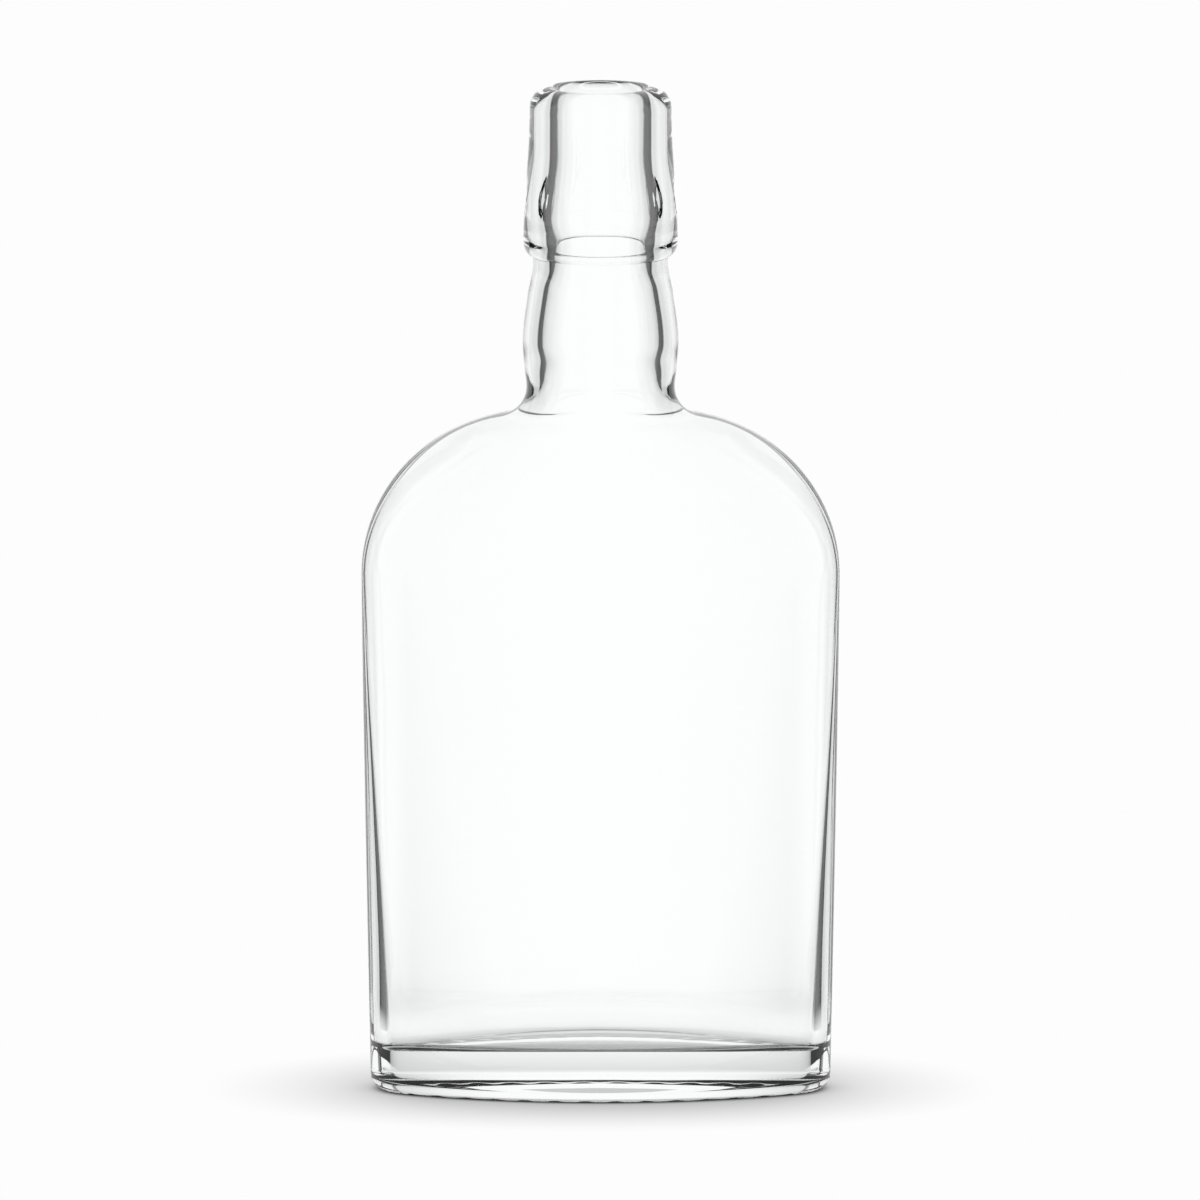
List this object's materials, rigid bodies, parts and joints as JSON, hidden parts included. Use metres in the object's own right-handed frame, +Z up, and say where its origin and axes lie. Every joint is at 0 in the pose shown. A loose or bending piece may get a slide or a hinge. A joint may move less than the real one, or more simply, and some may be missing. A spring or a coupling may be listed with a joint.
{
  "type": "glass pocket flask",
  "caption": "Clear glass pocket flask with a flattened body, a domed shoulder, a swelled neck and a collar finish that has a wire socket on each side.",
  "frame": {"origin": "middle of the base, on the plane of the bearing ring that the flask stands on", "axes": "+Z up through the neck, +X to the right across the broad faces, -Y out of the front face"},
  "size_m": [0.0834, 0.036, 0.1762],
  "materials": {
    "glass_flask": "clear, fire-polished"
  },
  "bodies": {
    "root": {"glass_flask": "glass_flask"}
  },
  "joints": []
}
